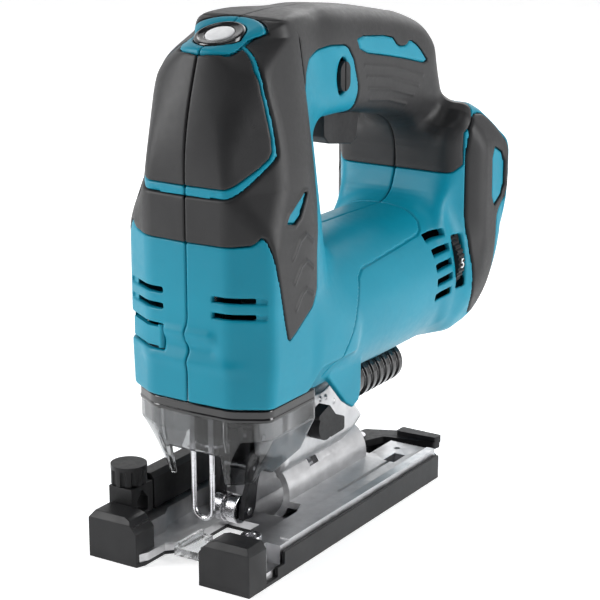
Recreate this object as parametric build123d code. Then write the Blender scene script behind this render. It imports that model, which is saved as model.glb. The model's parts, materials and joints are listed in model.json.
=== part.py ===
"""Cordless D-handle jigsaw (bare tool, no battery), modelled in millimetres.

Frame: +Z up, the cut runs towards -Y, the tool's left side is +X.  The origin is the
middle of the sole: z = 0 is the face that rests on the work and x = 0 is the blade plane.
"""
from build123d import *
import math
import os

# ---- driving dimensions -------------------------------------------------------------
BASE_W, BASE_L = 77.0, 154.0            # shoe with its cover
COVER_T = 1.6                           # black cover under and around the shoe
FLOOR_TOP, DECK_TOP = 5.0, 12.6         # low floor and raised side rails of the shoe
COVER_WALL_TOP = 10.4
PAD_TOP, PAD_REAR, PAD_INNER = 19.5, -62.0, 15.0
BEVEL_Z, DOME_R, DOME_T = 14.8, 15.0, 3.0     # bevel axis height, dome radius and wall
DOME_Y0, DOME_Y1 = -12.0, 50.0
BOLT_Y = 10.0

COLUMN_FRONT, COLUMN_BACK = -60.5, 11.0
COLUMN_BOTTOM, COLLAR_Z, NOSE_BASE = 67.0, 131.0, 150.0
WALL, SKIRT_WALL, SOFT_SKIN = 3.0, 1.4, 1.4
SKIRT_TOP = 84.0
BARREL_R, BARREL_Z, BARREL_END = 33.0, 86.0, 122.0
HANDLE_HALF = 17.0
BRACKET_HALF = 37.5

ROD_Y, ROD_R = -43.0, 4.0
CLAMP_R, CLAMP_Z0, CLAMP_Z1 = 8.0, 45.0, 61.0
GEAR_Z, GEAR_R, GEAR_TEETH, GEAR_Y0, GEAR_Y1 = 110.0, 19.9, 45, -10.0, -3.0
CRANK_R, CRANK_PIN_R = 13.0, 3.0
PINION_R, PINION_TEETH, SHAFT_R = 4.0, 9, 2.5
STATOR_Y0, STATOR_Y1 = 44.0, 86.0

FORK_PIVOT_Y, FORK_PIVOT_Z = -26.0, 44.0
ROLLER_Y, ROLLER_Z, ROLLER_R = -33.0, 14.2, 6.0
FOOT_HALF = 16.0
LEVER_Y, LEVER_Z, LEVER_OUT = 5.0, 42.0, 22.5

PORT_Z, PORT_R, PORT_BORE, PORT_Y0, PORT_Y1 = 43.4, 9.4, 7.4, 52.0, 93.0
DIAL_Y0, DIAL_Y1, DIAL_X, DIAL_Z, DIAL_R = 95.0, 100.0, 22.0, 92.0, 13.4
KNOB_X, KNOB_Y = -33.0, -57.0
BUTTON_TILT, BUTTON_Y, BUTTON_Z = 18.5, -37.0, 207.5
RING_A, RING_B, BUTTON_R, DISC_R = 19.0, 15.2, 10.1, 5.8
OPENER_X, OPENER_Y = -13.0, -59.4       # hinge of the blade opener
FIT = 0.3                               # gap kept between bodies that move past each other


# ---- shape helpers --------------------------------------------------------------------
def outline(points, radius=0.0):
    face = make_face(Polyline(*points, close=True))
    return fillet(face.vertices(), radius) if radius else face


def slab(points, x0, x1, radius=0.0):
    """A side (Y-Z) outline extruded across the tool from x0 to x1."""
    return extrude(Plane.YZ.offset(x0) * outline(points, radius), x1 - x0)


def plan(points, z0, z1, radius=0.0):
    """A plan (X-Y) outline extruded upwards from z0 to z1."""
    return extrude(Plane.XY.offset(z0) * outline(points, radius), z1 - z0)


def section(points, y0, y1, radius=0.0):
    """A front (X-Z) outline extruded backwards from y0 to y1."""
    return extrude(Plane.XZ.offset(-y1) * outline(points, radius), y1 - y0)


def block(x0, x1, y0, y1, z0, z1):
    return Pos((x0 + x1) / 2, (y0 + y1) / 2, (z0 + z1) / 2) * Box(x1 - x0, y1 - y0, z1 - z0)


def round_x(r, x0, x1, y, z):
    return Pos((x0 + x1) / 2, y, z) * Rot(0, 90, 0) * Cylinder(r, x1 - x0)


def round_y(r, y0, y1, x, z):
    return Pos(x, (y0 + y1) / 2, z) * Rot(90, 0, 0) * Cylinder(r, y1 - y0)


def round_z(r, z0, z1, x, y):
    return Pos(x, y, (z0 + z1) / 2) * Cylinder(r, z1 - z0)


def both_sides(shape):
    return shape + mirror(shape, Plane.YZ)


def mirrored(points):
    """A right-hand half outline completed to the left, in order."""
    return points + [(-x, y) for x, y in reversed(points)]


def left_half(shape):
    return shape & block(0, 60, -90, 160, -5, 240)


def right_half(shape):
    return shape & block(-60, 0, -90, 160, -5, 240)


def toothed(radius, depth, teeth):
    """Plan outline of a spur gear blank with straight-sided teeth."""
    step = 2 * math.pi / teeth
    points = []
    for k in range(teeth):
        for part, r in ((-0.30, radius - depth), (-0.16, radius), (0.16, radius), (0.30, radius - depth)):
            a = (k + part) * step
            points.append((r * math.cos(a), r * math.sin(a)))
    return make_face(Polyline(*points, close=True))


# ---- the body of the tool -----------------------------------------------------------
COLUMN = mirrored([(19.0, COLUMN_FRONT), (32.0, -52.5), (34.0, -44.0), (34.0, 2.0), (22.0, COLUMN_BACK)])
NOSE_TOP = mirrored([(9.0, -52.5), (18.5, -44.0), (20.5, -36.0), (20.5, -4.0), (14.0, COLUMN_BACK)])
HANDLE = [(-30, 208), (-22, 211.5), (-10, 212.5), (20, 212.5), (50, 209), (83, 203), (101, 196.5),
          (110, 189), (113, 176), (118, 162), (118, 128), (99, 128), (98, 142), (91, 153), (79, 158),
          (37, 165), (10, 167), (-30, 167)]
BRACKET = [(102, 149), (110, 160), (119, 160), (131, 147), (136, 141), (136, 122), (129, 90), (125, 73),
           (117, 61), (104, 57), (98, 80)]
OPENING = [(10.5, 162), (13.5, 131), (20, 124), (45, 121.5), (84, 119.2), (95, 122), (99, 131), (97.5, 143),
           (90, 153.5), (79, 158), (37, 165)]
TONGUE = [(-2, 68), (21, 42), (29, 46), (29, 70)]


def column(t, z0, z1):
    return extrude(Plane.XY.offset(z0) * offset(outline(COLUMN), -t, kind=Kind.INTERSECTION), z1 - z0)


def nose(t):
    low = offset(outline(COLUMN), -t, kind=Kind.INTERSECTION)
    high = offset(outline(NOSE_TOP), -t, kind=Kind.INTERSECTION)
    return loft([Plane.XY.offset(NOSE_BASE - 0.5) * low, Plane.XY.offset(206.0 - t) * high], ruled=True)


def handle(t):
    side = offset(outline(HANDLE), -t, kind=Kind.INTERSECTION)
    band = extrude(Plane.YZ.offset(-24) * side, 48)
    half, top = HANDLE_HALF - t, 212.5 - t
    arch = [(-half, top), (half, top), (half, 150), (half + 5, 128), (-half - 5, 128), (-half, 150)]
    return band & section(arch, -60, 140, 4.5)


def bracket(t):
    side = offset(outline(BRACKET), -t, kind=Kind.INTERSECTION)
    half = BRACKET_HALF - t
    envelope = mirrored([(half - 12, 165), (half, 146), (half, 88), (half - 16, 52)])
    return extrude(Plane.YZ.offset(-half) * side, 2 * half) & section(envelope, 90, 140)


def body(t):
    barrel = round_y(BARREL_R - t, -10, BARREL_END - t, 0, BARREL_Z)
    return column(t, COLUMN_BOTTOM, NOSE_BASE) + nose(t) + handle(t) + bracket(t) + barrel


def body_shell():
    """The whole outer wall of the tool, before it is split into mouldings."""
    cavity = body(WALL) + column(WALL, 60, NOSE_BASE) + column(SKIRT_WALL, 60, SKIRT_TOP)
    shell = body(0.0) - cavity
    tongue = both_sides(slab(TONGUE, 24, 27))
    shell = shell + (tongue - round_y(BARREL_R - WALL, -10, 60, 0, BARREL_Z))
    shell -= slab(OPENING, -60, 60)
    shell -= block(-20.5, 20.5, -70, 50, 40, 66.9) + block(-17, 17, -8, 30, 60, 71)
    shell -= block(-7.5, 7.5, 26.5, 55.5, 148, 171)
    shell -= round_y(PORT_R + 0.4, 30, 100, 0, PORT_Z)
    return shell


def zone(points):
    return slab(points, -60, 60)


NOSE_CAP_EDGE = [(-58.8, 151.0), (-52.2, 157.3), (-48.2, 164.6), (-44.6, 182.0), (-43.2, 196.0)]
GRIP_EDGE = [(-42.0, 196.0), (-43.2, 181.2), (-46.8, 163.6), (-51.0, 156.0), (-58.4, 149.3)]
NOSE_CAP_ZONE = [(-80, 151.0)] + NOSE_CAP_EDGE + [(-43.2, 201.5), (-80, 201.5)]
GRIP_ZONE = [(-13.5, 201.0), (-42.0, 201.0)] + GRIP_EDGE + [(-80, 149.3), (-80, COLLAR_Z), (-56, 133), (-53, 136.4),
             (-43, 94), (-41, 92.5), (-21.5, 105), (-20.2, 123), (-19.2, 141), (-17, 163), (-14, 186)]
HANDLE_ZONE = [(-42, 240), (-42, 203.0), (-13, 203.0), (-12, 198.0), (22, 199.0), (32, 191), (37.5, 178), (36, 160),
               (36, 145), (70, 127), (100, 132), (104, 135), (104, 149), (118, 163), (150, 175), (150, 240)]
STRAP_ZONE = [(105, 147), (124.5, 147), (124.5, 110), (120, 70), (116.5, 61.5), (109, 74), (105, 100)]
INLAY = [(35, 198.5), (64, 195.5), (70, 190.5), (78, 189.5), (82, 191.8), (98, 179.2), (92, 177.8), (44, 190.0)]


def solids_over(shape, least):
    """Drop crumbs that the cuts leave behind."""
    return Compound(children=[s for s in shape.solids() if s.volume > least])


def side_of(shape, sign):
    return left_half(shape) if sign > 0 else right_half(shape)


def soft_parts(shell):
    """The rubber mouldings of both sides: a thin skin let into the hard wall."""
    skin = shell - body(SOFT_SKIN)
    inlay = both_sides(slab(INLAY, 5.0, 30.0))
    well = button_well(0.2)
    return {
        "nose_cap": (skin & zone(NOSE_CAP_ZONE)) - well,
        "front_grip": (skin & zone(GRIP_ZONE)) - well,
        "handle_grip": (skin & zone(HANDLE_ZONE)) - inlay - well,
        "handle_inlay": skin & zone(HANDLE_ZONE) & inlay,
        "rear_strap": skin & both_sides(slab(STRAP_ZONE, 26, 60)),
    }


SCREWS = [(-52.5, 147.5, 30), (1, 152, 31), (72, 197.5, 15.5), (105.5, 172, 15), (108, 128, 33), (118, 74, 31)]


def bosses(sign):
    group = None
    for y, z, reach in SCREWS:
        ends = (0, reach) if sign > 0 else (-reach, 0)
        tube = round_x(4.4, *ends, y, z)
        group = tube if group is None else group + tube
    return group


def screw_holes(sign):
    group = None
    for y, z, reach in SCREWS:
        hole = round_x(1.9, -1, 12, y, z) if sign > 0 else round_x(2.0, -8, 1, y, z) + round_x(3.4, -40, -7, y, z)
        group = hole if group is None else group + hole
    return group


def housing(shell, soft, sign):
    """One hard half of the clamshell, with its screw bosses, vents and openings."""
    half = side_of(shell, sign) + (bosses(sign) & side_of(body(1.0), sign))
    for part in soft.values():
        half -= part
    half -= screw_holes(sign)
    half -= lock_well()
    if sign > 0:
        half -= block(8, 45, DIAL_Y0 - 0.6, DIAL_Y1 + 0.6, DIAL_Z - 14.2, DIAL_Z + 14.2)
    else:
        half -= opener_pocket()
    for step in range(2):
        z = 103.0 + 6.4 * step
        half -= block(12, 27, -66, -50, z, z + 2.4) if sign > 0 else block(-27, -12, -66, -50, z, z + 2.4)
    half -= button_well(0.2)
    half -= block(-23, 23, 122, 140, 84, 138)
    half -= both_sides(block(25, 29, 127, 131, 70, 142))
    for k in range(5):
        z = 76 + 6.6 * k
        half -= both_sides(block(20, 45, 82, 91, z, z + 2.6))
    return solids_over(half, 60.0)


def housing_screws():
    group = None
    for y, z, reach in SCREWS:
        screw = round_x(1.85, -8, 10, y, z) + round_x(3.3, -10, -7.1, y, z)
        screw -= round_x(1.2, -11, -8.6, y, z)
        group = screw if group is None else group + screw
    return group


# ---- top switch ---------------------------------------------------------------------
def tilted(shape):
    return Pos(0, BUTTON_Y, BUTTON_Z) * Rot(BUTTON_TILT, 0, 0) * shape


def button_well(gap):
    """The oval well that the ring and the button stand in, square to the sloping top."""
    oval = Ellipse(RING_A + gap, RING_B + gap)
    seat = extrude(oval, 12) + extrude(oval, -2.5 - gap)
    return tilted(seat + extrude(Ellipse(12 + gap, 12), -10))


def top_ring():
    ring = extrude(Ellipse(RING_A, RING_B), 2.0) + extrude(Ellipse(RING_A, RING_B), -2.5)
    return tilted(ring - extrude(Circle(BUTTON_R + FIT), 6, both=True))


def mode_button():
    cap = extrude(Circle(BUTTON_R), 1.4) + extrude(Circle(BUTTON_R), -4.0)
    return tilted(cap - Pos(0, 0, 0.8) * extrude(Circle(DISC_R + 0.2), 4))


def button_disc():
    return tilted(Pos(0, 0, 0.8) * extrude(Circle(DISC_R), 0.9))


def switch_board():
    return tilted(Pos(0, 0, -8.5) * Box(20, 18, 1.6) + Pos(0, 0, -7.0) * Box(6, 6, 1.6))


# ---- trigger, lock and electrics ------------------------------------------------------
def trigger():
    return slab([(27, 168), (27, 157.5), (31, 154), (49, 151), (53, 153), (54.5, 161), (55, 168)], -7, 7, 1.8)


def lock_button():
    pin = round_x(3.0, -16.2, 16.2, 24, 184)
    caps = both_sides(slab([(20.2, 178), (27.8, 178), (27.8, 190), (20.2, 190)], 15.0, 19.0, 3.7))
    return pin + caps - slab([(23.6, 170), (24.4, 170), (24.4, 200), (23.6, 200)], 18.4, 20)


def lock_well():
    return both_sides(slab([(19.8, 177.6), (28.2, 177.6), (28.2, 190.4), (19.8, 190.4)], 11.5, 24.0, 4.0))


def switch_body():
    return block(-9, 9, 30, 62, 176, 194) + block(-6, 6, 36, 50, 173.5, 176)


def speed_dial():
    wheel = round_y(DIAL_R, DIAL_Y0, DIAL_Y1, DIAL_X, DIAL_Z)
    for k in range(36):
        a = math.radians(10 * k)
        wheel -= round_y(0.6, DIAL_Y0 - 1, DIAL_Y1 + 1, DIAL_X + DIAL_R * math.cos(a), DIAL_Z + DIAL_R * math.sin(a))
    return wheel - round_y(1.6, DIAL_Y0 - 1, DIAL_Y1 + 1, DIAL_X, DIAL_Z)


def dial_spindle():
    return round_y(1.5, DIAL_Y0 - 1.5, 104, DIAL_X, DIAL_Z)


def controller():
    return block(-24, 24, 104.6, 109, 72, 112) + block(-18, 18, 109, 112, 80, 106)


def terminal_block():
    shape = block(-22, 22, 114, 129, 90, 136)
    for x in (-13, 0, 13):
        shape -= block(x - 2.2, x + 2.2, 118, 131, 96, 130)
    return shape


def terminals():
    blades = block(-13.5, -12.5, 119, 128.5, 98, 128)
    for x in (0, 13):
        blades += block(x - 0.5, x + 0.5, 119, 128.5, 98, 128)
    return blades


# ---- motor and drive ------------------------------------------------------------------
def stator():
    ring = round_y(27, STATOR_Y0, STATOR_Y1, 0, BARREL_Z) - round_y(23.5, STATOR_Y0 - 1, STATOR_Y1 + 1, 0, BARREL_Z)
    for k in range(6):
        tooth = block(-4, 4, STATOR_Y0 + 5, STATOR_Y1 - 5, BARREL_Z + 15.4, BARREL_Z + 24)
        turned = Pos(0, 0, BARREL_Z) * Rot(0, 60 * k, 0) * Pos(0, 0, -BARREL_Z) * tooth
        ring += turned
    return ring - round_y(15.2, STATOR_Y0 - 1, STATOR_Y1 + 1, 0, BARREL_Z)


def rotor():
    shaft = round_y(SHAFT_R, -11, 103, 0, BARREL_Z)
    magnets = round_y(14.4, STATOR_Y0 + 4, STATOR_Y1 - 4, 0, BARREL_Z)
    gear = extrude(Plane.XZ.offset(2.5) * toothed(PINION_R, 0.9, PINION_TEETH), 8.0)
    return shaft + magnets + Pos(0, 0, BARREL_Z) * gear


def fan():
    hub = round_y(9, 88.2, 93, 0, BARREL_Z) + round_y(25.5, 88.2, 89.4, 0, BARREL_Z)
    for k in range(9):
        blade = block(-0.8, 0.8, 89.4, 93, BARREL_Z + 8, BARREL_Z + 25)
        hub += Pos(0, 0, BARREL_Z) * Rot(0, 40 * k, 0) * Pos(0, 0, -BARREL_Z) * blade
    return hub - round_y(SHAFT_R, 80, 100, 0, BARREL_Z)


def bearing(y0, y1, bore, outer):
    return round_y(outer, y0, y1, 0, BARREL_Z) - round_y(bore, y0 - 1, y1 + 1, 0, BARREL_Z)


def motor_bearings():
    return bearing(3.6, 8.6, SHAFT_R + 0.03, 8.0) + bearing(97, 101.5, SHAFT_R + 0.03, 7.0)


def bearing_seat():
    """Moulded ring and ribs that hold the rear motor bearing in the barrel."""
    ring = round_y(9.2, 97, 101.5, 0, BARREL_Z) - round_y(7.0, 96, 102, 0, BARREL_Z)
    ribs = block(-29.5, -9, 98, 101, BARREL_Z - 1, BARREL_Z + 1)
    ribs += block(-1, 1, 98, 101, BARREL_Z - 29.5, BARREL_Z - 9)
    return ring + ribs


def drive_gear():
    blank = extrude(Plane.XZ.offset(-GEAR_Y1) * toothed(GEAR_R, 0.9, GEAR_TEETH), GEAR_Y1 - GEAR_Y0)
    wheel = Pos(0, 0, GEAR_Z) * blank
    pin = round_y(CRANK_PIN_R, -19.4, GEAR_Y0, 0, GEAR_Z + CRANK_R)
    lighten = round_y(3.4, -12, 0, 11.2, GEAR_Z - 5) + round_y(3.4, -12, 0, -11.2, GEAR_Z - 5)
    return wheel + pin - lighten - round_y(4.04, -12, 0, 0, GEAR_Z)


def gear_pin():
    return round_y(4.0, -11.5, 2.6, 0, GEAR_Z) + round_y(5.5, -12.6, -10.4, 0, GEAR_Z)


def reciprocating_rod():
    rod = round_z(ROD_R, 58, 153, 0, ROD_Y)
    arm = block(-4, 4, ROD_Y, -26, GEAR_Z - 5, GEAR_Z + 5)
    yoke = block(-20, 20, -26, -20, GEAR_Z - 6.5, GEAR_Z + 6.5)
    slot = block(-17, 17, -30, -18, GEAR_Z - 3.2, GEAR_Z + 3.2) - block(-5, 5, -30, -24, 100, 120)
    return rod + arm + (yoke - slot)


def rod_bushes():
    bushes = []
    for z0, z1 in ((75, 85), (131, 139)):
        bushes.append(round_z(6, z0, z1, 0, ROD_Y) - round_z(ROD_R + 0.04, z0 - 1, z1 + 1, 0, ROD_Y))
    return bushes[0] + bushes[1]


def counterweight():
    weight = block(-19, 19, -18.5, -12, 78.5, 88.5)
    return weight - round_z(1.55, 60, 100, 13, -15.2) - round_z(1.55, 60, 100, -13, -15.2)


def weight_guides():
    return round_z(1.5, 67.6, 93, 13, -15.2) + round_z(1.5, 67.6, 93, -13, -15.2)


def blade_clamp():
    shape = round_z(CLAMP_R - 2.0, CLAMP_Z0, CLAMP_Z1, 0, ROD_Y)
    shape -= round_z(ROD_R, 57.9, 70, 0, ROD_Y)
    return shape - block(-0.9, 0.9, ROD_Y - 4.2, ROD_Y + 4.2, 40, 57)


def clamp_collar():
    ring = round_z(CLAMP_R, CLAMP_Z0 + 2, CLAMP_Z1 - 3, 0, ROD_Y)
    ring -= round_z(CLAMP_R - 1.95, 40, 70, 0, ROD_Y)
    lug = block(CLAMP_R - 1, CLAMP_R + 4, ROD_Y - 2, ROD_Y + 2, CLAMP_Z0 + 2.5, CLAMP_Z1 - 7)
    return ring + lug


def foot():
    """The foot of the gear case: its hollow underside rides on the dome of the shoe."""
    side = [(-16, 68), (-16, 24.5), (31, 24.5), (47, 33), (14, 68)]
    front_cut = [(12.2, 24.0), (FOOT_HALF, 28.5), (FOOT_HALF, 70), (-FOOT_HALF, 70), (-FOOT_HALF, 28.5), (-12.2, 24.0)]
    shape = slab(side, -FOOT_HALF, FOOT_HALF) & section(front_cut, -20, 60)
    shape -= round_y(DOME_R + 0.06, -30, 60, 0, BEVEL_Z)
    shape -= slab([(-12, 64), (-12, 36), (22, 36), (2, 64)], -9, 9)
    return shape - round_z(3.0, 20, 40, 0, BOLT_Y)


def gear_housing():
    case = column(5.0, 67.5, 140) & block(-40, 40, -70, 3.4, 60, 150)
    case -= column(8.0, 74, 150) & block(-40, 40, -70, 0.4, 60, 150)
    case += block(-10, 10, -54, -34.5, 74, 85) + block(-10, 10, -54, -34.5, 131, 139)
    case += foot()
    lugs = slab([(-33, 68), (-30, 38), (-20, 34), (-15, 34), (-15, 68)], 9.6, 13.5)
    case += both_sides(lugs)
    case -= both_sides(slab(TONGUE, 23.7, 27.3))
    case -= round_z(9.2, 60, 74.6, 0, ROD_Y)
    case -= round_z(6.0, 70, 145, 0, ROD_Y)
    case -= round_x(2.0, -20, 20, FORK_PIVOT_Y, FORK_PIVOT_Z)
    case -= round_y(8.0, 3.3, 9, 0, BARREL_Z) + round_y(SHAFT_R + 0.5, -5, 9, 0, BARREL_Z)
    case -= round_y(4.0, -2, 2.6, 0, GEAR_Z)
    case -= round_z(1.5, 67.6, 80, 13, -15.2) + round_z(1.5, 67.6, 80, -13, -15.2)
    case -= round_x(3.0, 10, 20, LEVER_Y, LEVER_Z)
    case -= block(-5.7, 5.7, -53.3, -50.7, 66, 80)
    return case


# ---- blade support --------------------------------------------------------------------
def fork_arm(x0, x1):
    arm = [(-31, 40), (-31, 26), (-36, 17), (-36.5, 11), (-30, 10.5), (-27.5, 14), (-25.5, 24), (-21, 34), (-21.5, 48),
           (-30, 48)]
    return slab(arm, x0, x1)


def roller_fork():
    fork = fork_arm(6.2, 8.4) + fork_arm(-8.4, -6.2)
    fork += block(-6.2, 6.2, -24.6, -22.6, 28, 46)
    fork -= round_x(1.6, -12, 12, ROLLER_Y, ROLLER_Z) + round_x(2.03, -12, 12, FORK_PIVOT_Y, FORK_PIVOT_Z)
    return fork - round_x(1.0, -12, 12, -33.0 + 4.5, 31.5)


def fork_pins():
    low = round_x(1.6, -9.6, 9.6, ROLLER_Y, ROLLER_Z)
    return low + round_x(1.0, -9.2, 9.2, -28.5, 31.5)


def fork_pivot():
    return round_x(2.0, -13.5, 13.5, FORK_PIVOT_Y, FORK_PIVOT_Z)


def roller():
    wheel = round_x(ROLLER_R, -5.6, 5.6, ROLLER_Y, ROLLER_Z)
    wheel -= round_x(9, -0.9, 0.9, ROLLER_Y, ROLLER_Z) - round_x(4.4, -0.9, 0.9, ROLLER_Y, ROLLER_Z)
    return wheel - round_x(1.65, -8, 8, ROLLER_Y, ROLLER_Z)


def guard_wire():
    half, low, top = 4.4, 20.4, 72.0
    path = Line((-half, -52, top), (-half, -52, low)) + ThreePointArc(
        (-half, -52, low), (0, -52, low - half), (half, -52, low)) + Line((half, -52, low), (half, -52, top))
    return sweep(Plane((-half, -52, top), z_dir=(0, 0, -1)) * Circle(1.1), path=path)


def orbit_lever():
    hub = round_x(6.2, FOOT_HALF + 0.3, LEVER_OUT, LEVER_Y, LEVER_Z)
    grip = slab([(-2, 47.5), (7, 50.5), (12, 45), (19, 42), (19, 36.4), (8, 36)], 17.5, LEVER_OUT, 1.2)
    return hub + grip + round_x(2.95, 10.2, FOOT_HALF + 1, LEVER_Y, LEVER_Z)


# ---- lower covers ---------------------------------------------------------------------
def cover_outer(t):
    band = column(1.9 + t, 52, 67)
    low = mirrored([(13.0 - t, -55.0 + t), (20.0 - t, -48.0 + t), (21.0 - t, -40.0), (21.0 - t, -4.0), (15.0, 3.0)])
    top = offset(outline(COLUMN), -(1.9 + t), kind=Kind.INTERSECTION)
    return band + loft([Plane.XY.offset(33.0) * outline(low), Plane.XY.offset(52.0) * top], ruled=True)


def dust_cover():
    shell = cover_outer(0.0) - cover_outer(1.5) - column(3.4, 51, 70)
    shell -= block(-60, 60, -17.5, 30, 20, 80)
    shell -= block(-11.5, 11.5, -70, -40, 20, 45.5)
    shell -= slab([(-48, 20), (-48, 41), (-36, 36.5), (-28, 41), (-10, 45), (-10, 20)], -60, -10)
    shell -= slab([(-48, 20), (-44, 38), (-34, 33.5), (-24, 37), (-10, 41.5), (-10, 20)], 10, 60)
    return solids_over(shell, 40.0)


def lamp_lens():
    return block(9, 16, -54.6, -50, 64.6, 67.4)


def dust_port():
    tube = round_y(PORT_R - 1.0, PORT_Y0, PORT_Y1, 0, PORT_Z)
    for k in range(6):
        y = PORT_Y1 - 4.6 - 5.6 * k
        tube += round_y(PORT_R, y, y + 3.2, 0, PORT_Z)
    return tube - round_y(PORT_BORE, PORT_Y0 + 2, PORT_Y1 + 1, 0, PORT_Z)


def opener_pocket():
    return plan([(-34, -49), (-34, -66), (-10.9, -66), (-10.9, -57.2), (-18.2, -57.0), (-30.4, -49.4)], 86.4, 97.2)


def tool_opener():
    """Finger lever on the front right corner; it swings out about the upright barrel at its inner end."""
    lever = plan([(OPENER_X, -60.9), (-19.0, -60.6), (-31.2, -53.2), (-30.2, -51.5), (-18.6, -58.7), (OPENER_X, -58.9)],
                 88.0, 95.6)
    return lever + round_z(1.6, 87.2, 96.4, OPENER_X, OPENER_Y)


# ---- shoe -----------------------------------------------------------------------------
def wing_outline(inset):
    half, end = BASE_W / 2 - inset, BASE_L / 2 - inset
    return [(-half, -end), (-PAD_INNER, -end), (-PAD_INNER + 1.5, -end + 4), (-PAD_INNER + 1.5, -60), (-8.0, -54),
            (-8.0, -24), (8.0, -24), (8.0, -54), (PAD_INNER - 1.5, -60), (PAD_INNER - 1.5, -end + 4), (PAD_INNER, -end),
            (half, -end), (half, end - 4), (half - 4, end), (-half + 4, end), (-half, end - 4)]


def dome(r, y0, y1):
    return round_y(r, y0, y1, 0, BEVEL_Z) & block(-30, 30, y0, y1, FLOOR_TOP - 3, 40)


def base_plate():
    floor = plan(wing_outline(2.0), COVER_T, FLOOR_TOP)
    half = BASE_W / 2 - 2.0
    rail = [(20.5, -68), (half, -68), (half, 73), (20.5, 73), (20.5, -12), (23.5, -20), (23.5, -44), (20.5, -50)]
    plate = floor + both_sides(plan(rail, FLOOR_TOP - 1, DECK_TOP))
    deck = plan([(-22, DOME_Y0), (22, DOME_Y0), (22, 73), (-22, 73)], DECK_TOP - 3, DECK_TOP)
    plate += deck - block(-14.4, 14.4, 54, 80, 0, 30)
    rim = plan([(half - 4.0, -46), (half, -46), (half, 73), (half - 4.0, 73)], DECK_TOP - 1, DECK_TOP + 0.5)
    plate += both_sides(rim)
    plate += dome(DOME_R, DOME_Y0, DOME_Y1)
    plate -= round_y(DOME_R - DOME_T, DOME_Y0 - 1, 80, 0, BEVEL_Z)
    plate -= slab([(44, 40), (52, 20), (56, 12), (60, 40)], -16, 16)
    slot = section([(0, BEVEL_Z), (30.0, BEVEL_Z + 15.7), (0, 50), (-30.0, BEVEL_Z + 15.7)], BOLT_Y - 3.4, BOLT_Y + 3.4)
    plate -= slot
    plate -= both_sides(block(30.2, 40, -62.0, -52.5, 4.5, 20))
    plate += round_z(5.2, FLOOR_TOP - 1, 12.8, 26, -57)
    plate -= round_z(2.5, 0, 20, 26, -57)
    plate -= both_sides(block(25.4, 26.9, 8, 50, DECK_TOP - 1.2, 20) + block(23.6, 29.0, 50, 60, DECK_TOP - 4, 20))
    plate -= both_sides(round_z(1.3, DECK_TOP - 2, 20, 21.5, 66))
    return plate - round_z(3.0, 0, 10, 0, 66) - cover_plate()


def cover_plate():
    sole = plan(wing_outline(0.0), 0, COVER_T)
    half, end = BASE_W / 2, BASE_L / 2
    walls = both_sides(block(half - 1.6, half, -52, end - 4, 0, COVER_WALL_TOP))
    walls += both_sides(block(half - 1.6, half, -57, -51, 0, 5.4))
    walls += block(-half + 4, half - 4, end - 1.6, end, 0, 9.6)
    pads = both_sides(section([(PAD_INNER, 0), (PAD_INNER, 14), (PAD_INNER + 4, 18.6), (PAD_INNER + 7, PAD_TOP),
                               (half - 2, PAD_TOP), (half, PAD_TOP - 3), (half, 0)], -end, PAD_REAR - 3))
    pads -= both_sides(slab([(-end - 1, 16), (-end + 3, 20.5), (-end - 1, 22)], 0, 50))
    hollow = both_sides(block(PAD_INNER + 2, half - 1.6, -end + 2, PAD_REAR, COVER_T, 16.6))
    corner = both_sides(plan([(half, end - 4), (half - 4, end), (half - 5.6, end), (half - 5.6, end - 1.6),
                              (half - 1.6, end - 5.6), (half - 1.6, end - 4)], 0, 9.6))
    return sole + walls + (pads - hollow) + corner


def splinter_insert():
    shape = block(-7.6, 7.6, -62, -44, COVER_T + 0.2, 5.4) - block(-1.1, 1.1, -50, -40, 0, 10)
    return shape + block(-6.4, -4.6, -61, -45, 5, 7.6) + block(4.6, 6.4, -61, -45, 5, 7.6)


def base_screw():
    head = round_z(4.2, 12.9, 16.6, 26, -57) - extrude(Pos(26, -57, 14.4) * RegularPolygon(2.0, 6), 4)
    return head + round_z(2.45, 6, 13, 26, -57)


def guide_holder():
    clamp = block(-38.0, -26.5, -64, -50, DECK_TOP + 0.6, 26)
    clamp -= slab([(-60.5, 14.5), (-60.5, 20), (-57, 24), (-53.5, 20), (-53.5, 14.5)], -45, -20)
    bar = section([(-37.5, 13.2), (-37.5, 25.0), (-34.5, 28.0), (-28.5, 28.0), (-26.5, 26.0), (-26.5, 13.2)], -49, 12)
    bar += block(-36, -28, -50, -48, 13.6, 24)
    return clamp + bar - round_z(2.5, 20, 27, KNOB_X, KNOB_Y)


def guide_knob():
    knob = round_z(7.4, 26.4, 34.4, KNOB_X, KNOB_Y)
    for k in range(10):
        a = math.radians(36 * k)
        knob -= round_z(1.5, 26, 32.6, KNOB_X + 8.0 * math.cos(a), KNOB_Y + 8.0 * math.sin(a))
    return knob + round_z(2.45, 24.6, 26.6, KNOB_X, KNOB_Y)


def bevel_clamp():
    plate = round_y(DOME_R - DOME_T - FIT, 2, 18, 0, BEVEL_Z) & block(-7, 7, 2, 18, 19, 40)
    return plate - round_z(3.0, 10, 40, 0, BOLT_Y)


def bevel_bolt():
    return round_z(3.0, 16, 39.5, 0, BOLT_Y) + round_z(5.0, 13.4, 19, 0, BOLT_Y)


def bevel_lever():
    hub = round_z(6.0, 5.4, 13.4, 0, 66)
    arm = plan([(-4.5, 64), (4.5, 62), (10, 74), (33, 78.6), (34, 84), (12, 84.5), (-2, 78)], 10.2, 13.4, 1.6)
    arm += plan([(14, 78.4), (33, 79.4), (34, 84), (14, 84.4)], 12.5, 15.6, 0.8)
    return hub + arm - round_z(3.05, 0, 20, 0, 66)


def lever_pin():
    return round_z(3.0, COVER_T + 0.1, 13.7, 0, 66) + round_z(4.6, 13.6, 15.0, 0, 66)


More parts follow.
